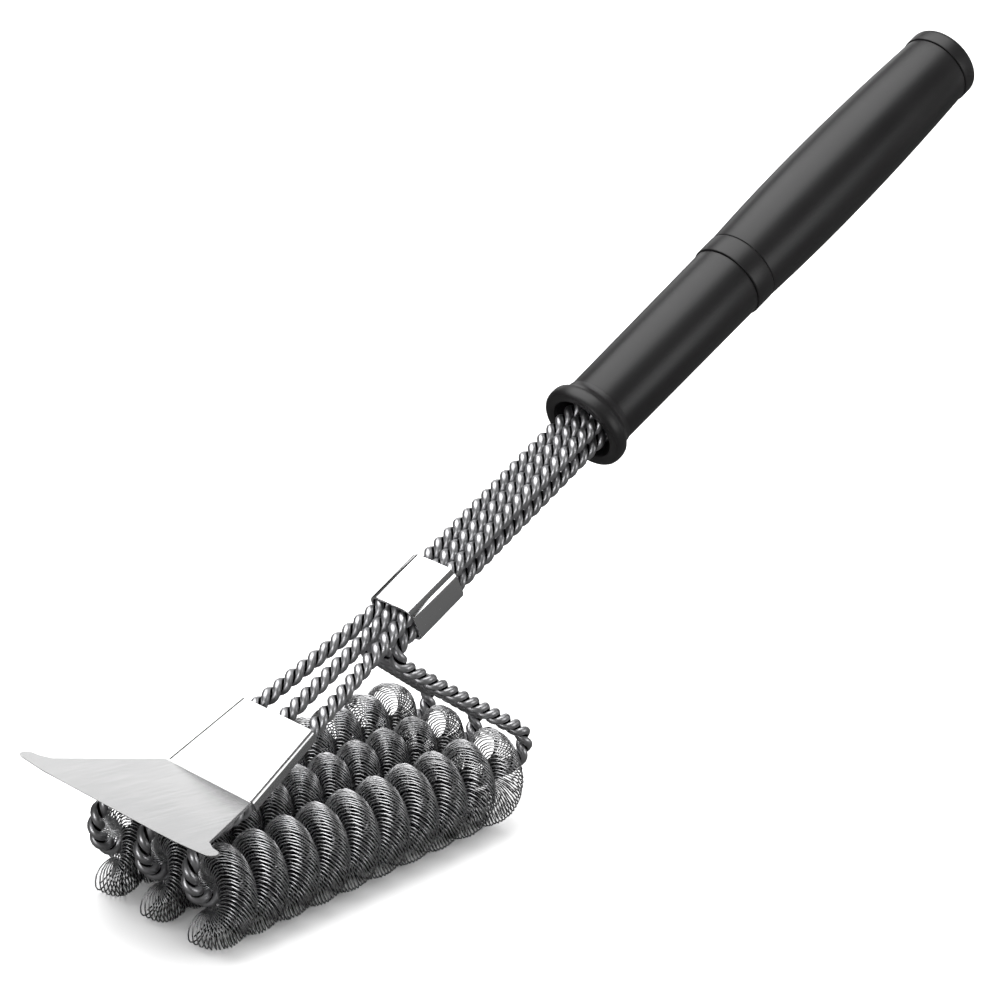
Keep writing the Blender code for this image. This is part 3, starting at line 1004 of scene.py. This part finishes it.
    def ring(self) -> bpy.types.Object:
        """The joining ring, with a spigot into the tube on each side of it."""
        start, end = self.ring_start, self.ring_start + self.ring_length
        spigot = self.sleeve_radius - self.wall - CLEARANCE
        bore = spigot - self.spigot_wall
        rings = [(start - self.spigot, bore), (start - self.spigot, spigot), (start, spigot)]
        rings += self.rounded(start, self.ring_radius, self.joint_edge, True)
        rings += self.rounded(end, self.ring_radius, self.joint_edge, False)
        rings += [(end, spigot), (end + self.spigot, spigot), (end + self.spigot, bore)]
        return self.turn("joining_ring", rings)

    def grip(self) -> bpy.types.Object:
        """The barrel-shaped grip, widest a little before its middle."""
        start = self.ring_start + self.ring_length + self.seam
        end = self.cap_start - self.seam
        inner = self.sleeve_radius - self.wall
        edge = self.joint_edge
        rings = [(start, inner)] + self.rounded(start, self.grip_front, edge, True)
        steps = 30
        for k in range(1, steps):
            share = k / steps
            if share < self.grip_peak:
                drop = (self.grip_middle - self.grip_front) * (1 - share / self.grip_peak) ** 2
            else:
                rest = (share - self.grip_peak) / (1 - self.grip_peak)
                drop = (self.grip_middle - self.grip_rear) * rest**2
            rings.append((start + edge + (end - start - 2 * edge) * share, self.grip_middle - drop))
        rings += self.rounded(end, self.grip_rear, edge, False)
        rings.append((end, inner))
        return self.turn("hand_grip", rings)

    def cap(self) -> bpy.types.Object:
        """The end cap: a hollow spigot, a narrow band and a rounded flat end."""
        start, end = self.cap_start, self.cap_start + self.cap_length
        spigot = self.sleeve_radius - self.wall - CLEARANCE
        bore = spigot - self.spigot_wall
        front = start - self.cap_spigot
        rings = [(start - self.cap_thickness, bore), (front, bore), (front, spigot), (start, spigot)]
        rings += self.rounded(start, self.cap_radius, self.band_edge, True)
        rings += self.rounded(end, self.cap_radius, self.cap_edge, False, 9)
        return self.turn("end_cap", rings, closed=False)

    def build(self, material: bpy.types.Material) -> list[bpy.types.Object]:
        """Makes the five mouldings.

        Args:
            material: the mouldings' finish.

        Returns:
            The finished pieces.
        """
        made = (
            (self.bell(), "handle_bell"),
            (self.sleeve(), "handle_sleeve"),
            (self.ring(), "handle_ring"),
            (self.grip(), "handle_grip"),
            (self.cap(), "handle_cap"),
        )
        return [finish_piece(piece, material, node) for piece, node in made]


# ---------------------------------------------------------------------------
# Studio
# ---------------------------------------------------------------------------


@dataclass
class Studio:
    """A pale floor, soft lights and the camera."""

    eye: Vector = Vector((-0.79857, -0.70447, 0.53629))
    yaw: float = 0.745569
    pitch: float = -0.391322
    roll: float = 0.0407598
    lens: float = 114.51
    sensor: float = 36.0
    floor_size: float = 12.0
    floor_drop: float = 0.1 * MM  # keeps the floor clear of what stands on it
    target: Vector = Vector((0.0, 0.0, 0.09))
    floor_colour: str = "F4F4F4"
    mirrored_floor: str = "484848"
    ambient: float = 1.1
    mirrored: tuple[float, float] = (0.02, 0.12)  # how metal sees the surround, low and overhead
    mirrored_heights: tuple[float, float] = (0.1, 0.8)  # sines of the angles where these two hold

    def camera(self) -> bpy.types.Object:
        """Places the camera."""
        data = bpy.data.cameras.new("camera")
        data.lens = self.lens
        data.sensor_width = self.sensor
        data.clip_end = 50.0
        flat = math.cos(self.pitch)
        forward = Vector((flat * math.cos(self.yaw), flat * math.sin(self.yaw), math.sin(self.pitch)))
        level = forward.cross(Vector((0.0, 0.0, 1.0))).normalized()
        upright = level.cross(forward)
        right = math.cos(self.roll) * level + math.sin(self.roll) * upright
        up = math.cos(self.roll) * upright - math.sin(self.roll) * level
        turn = Matrix((right, up, -forward)).transposed().to_4x4()
        camera = bpy.data.objects.new("camera", data)
        camera.matrix_world = Matrix.Translation(self.eye) @ turn
        bpy.context.scene.collection.objects.link(camera)
        bpy.context.scene.camera = camera
        return camera

    def lamp(
        self, name: str, place: tuple[float, float, float], size: tuple[float, float], power: float
    ) -> bpy.types.Object:
        """Adds a softbox aimed at the object.

        Args:
            name: the light's name.
            place: offset from the object: to the camera's right, towards the camera, and up.
            size: the softbox's width and height.
            power: watts.

        Returns:
            The light.
        """
        right = Vector((math.sin(self.yaw), -math.cos(self.yaw), 0.0))
        nearer = Vector((-math.cos(self.yaw), -math.sin(self.yaw), 0.0))
        data = bpy.data.lights.new(name, "AREA")
        data.shape = "RECTANGLE"
        data.size, data.size_y = size
        data.energy = power
        light = bpy.data.objects.new(name, data)
        light.location = self.target + right * place[0] + nearer * place[1] + Vector((0.0, 0.0, place[2]))
        light.rotation_euler = (self.target - light.location).to_track_quat("-Z", "Y").to_euler()
        bpy.context.scene.collection.objects.link(light)
        return light

    def floor(self) -> bpy.types.Object:
        """Adds the plain pale floor."""
        deselect()
        bpy.ops.mesh.primitive_plane_add(size=self.floor_size, location=(0.0, 0.0, -self.floor_drop))
        floor = bpy.context.object
        floor.name = "floor"
        material, shader = fresh_material("pale_floor")
        shader.inputs["Base Color"].default_value = linear(self.floor_colour)
        shader.inputs["Roughness"].default_value = 0.9
        shader.inputs["Specular IOR Level"].default_value = 0.0
        # Bright metal mirrors a dark table, as it does when the pale sheet under it is small.
        tree = material.node_tree
        dark = add_node(tree, "ShaderNodeBsdfDiffuse", {"Color": linear(self.mirrored_floor)})
        path = add_node(tree, "ShaderNodeLightPath")
        mix = add_node(
            tree, "ShaderNodeMixShader",
            links={0: path.outputs["Is Glossy Ray"], 1: shader.outputs[0], 2: dark.outputs[0]},
        )
        tree.links.new(mix.outputs[0], tree.nodes["Material Output"].inputs["Surface"])
        floor.data.materials.append(material)
        return floor

    def world(self) -> None:
        """Lights the scene with a plain surround that the camera sees as white."""
        world = bpy.data.worlds.new("surround")
        bpy.context.scene.world = world
        world.use_nodes = True
        tree = world.node_tree
        tree.nodes.clear()
        path = add_node(tree, "ShaderNodeLightPath")
        white = linear("FFFFFF")
        seen = add_node(tree, "ShaderNodeBackground", {"Color": white, "Strength": 1.0})
        ambient = add_node(tree, "ShaderNodeBackground", {"Color": white, "Strength": self.ambient})
        direction = add_node(tree, "ShaderNodeTexCoord").outputs["Generated"]
        height = add_node(tree, "ShaderNodeSeparateXYZ", links={0: direction})
        low, high = self.mirrored_heights
        glow = add_node(
            tree, "ShaderNodeMapRange",
            {"From Min": low, "From Max": high, "To Min": self.mirrored[0], "To Max": self.mirrored[1]},
            {"Value": height.outputs["Z"]}, interpolation_type="SMOOTHSTEP",
        )
        mirrored = add_node(
            tree, "ShaderNodeBackground", {"Color": white}, {"Strength": glow.outputs["Result"]}
        )
        room = add_node(
            tree, "ShaderNodeMixShader",
            links={0: path.outputs["Is Glossy Ray"], 1: ambient.outputs[0], 2: mirrored.outputs[0]},
        )
        mix = add_node(
            tree, "ShaderNodeMixShader",
            links={0: path.outputs["Is Camera Ray"], 1: room.outputs[0], 2: seen.outputs[0]},
        )
        add_node(tree, "ShaderNodeOutputWorld", links={"Surface": mix.outputs[0]})

    def build(self) -> None:
        """Sets up the floor, the lights and the camera."""
        self.floor()
        self.world()
        self.lamp("key_softbox", (-0.28, -0.18, 1.30), (1.8, 1.7), 28.0)
        self.lamp("low_back_strip", (0.0, -1.3, 0.30), (1.3, 0.35), 1.9)
        self.lamp("head_fill", (0.80, 0.30, 0.20), (0.50, 0.40), 1.3)
        self.lamp("rim_strip", (1.1, -0.5, 0.25), (0.12, 0.7), 0.5)
        self.lamp("front_card", (-0.45, 0.90, 0.22), (0.50, 0.35), 2.0)
        self.camera()
        bpy.context.scene.view_settings.view_transform = "Standard"


# ---------------------------------------------------------------------------
# The brush
# ---------------------------------------------------------------------------


def main() -> None:
    """Builds the brush, its finishes and the studio round the frame."""
    logging.basicConfig(level=logging.INFO, format="%(name)s: %(message)s")
    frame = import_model()
    Studio().build()

    # Hard-drawn wire: strong white streaks along its crowns, and painted shade, near black, where two wires
    # meet.
    loop_wire = DrawnWire(
        "drawn_stainless_wire", "D8D8DA", "A6A6A8", "060607",
        roughness=0.36, shade_from=0.42, shade_to=0.66,
    ).make()
    # Thin spring wire: each loop is a bright hair, and painted shade keeps the inside of the winding dark.
    spring_wire = DrawnWire(
        "coiled_spring_wire", "FAFAFB", "9C9C9E", "08080A",
        roughness=0.28, shade_from=0.48, shade_to=0.80, patch=2.2 * MM,
    ).make()
    # Rolled sheet with a soft satin face: pale grey blade, white where it faces the light.
    scraper_sheet = SheetSteel("satin_rolled_sheet", "DADADA", "CECECF", Polish.SATIN).make()
    # Polished sheet: mirrors the white above it and the dark beside it.
    collar_sheet = SheetSteel("polished_pressed_sheet", "F2F2F2", "E6E6E7", Polish.BRIGHT).make()
    # Fine spark-grained moulding: soft grey sheen, no sharp reflections.
    handle_plastic = MouldedPlastic("moulded_polypropylene", "0C0B0C", "141314", roughness=0.38).make()
    # The plug was never finished, and is duller.
    insert_plastic = MouldedPlastic(
        "moulded_plug_polypropylene", "101011", "161617", roughness=0.55
    ).make()

    stem = StemLine()
    for row in Row:
        TwistedLoop(row, stem).build(loop_wire)
        ScrubbingRow(row).build(spring_wire)
    Scraper().build(scraper_sheet)
    Collar(stem).build(collar_sheet)
    Handle(stem).build(handle_plastic)
    plug = frame["nodes"]["handle_insert"]
    plug.data.materials.clear()
    plug.data.materials.append(insert_plastic)

    bpy.context.view_layer.update()


if __name__ == "__main__":
    main()
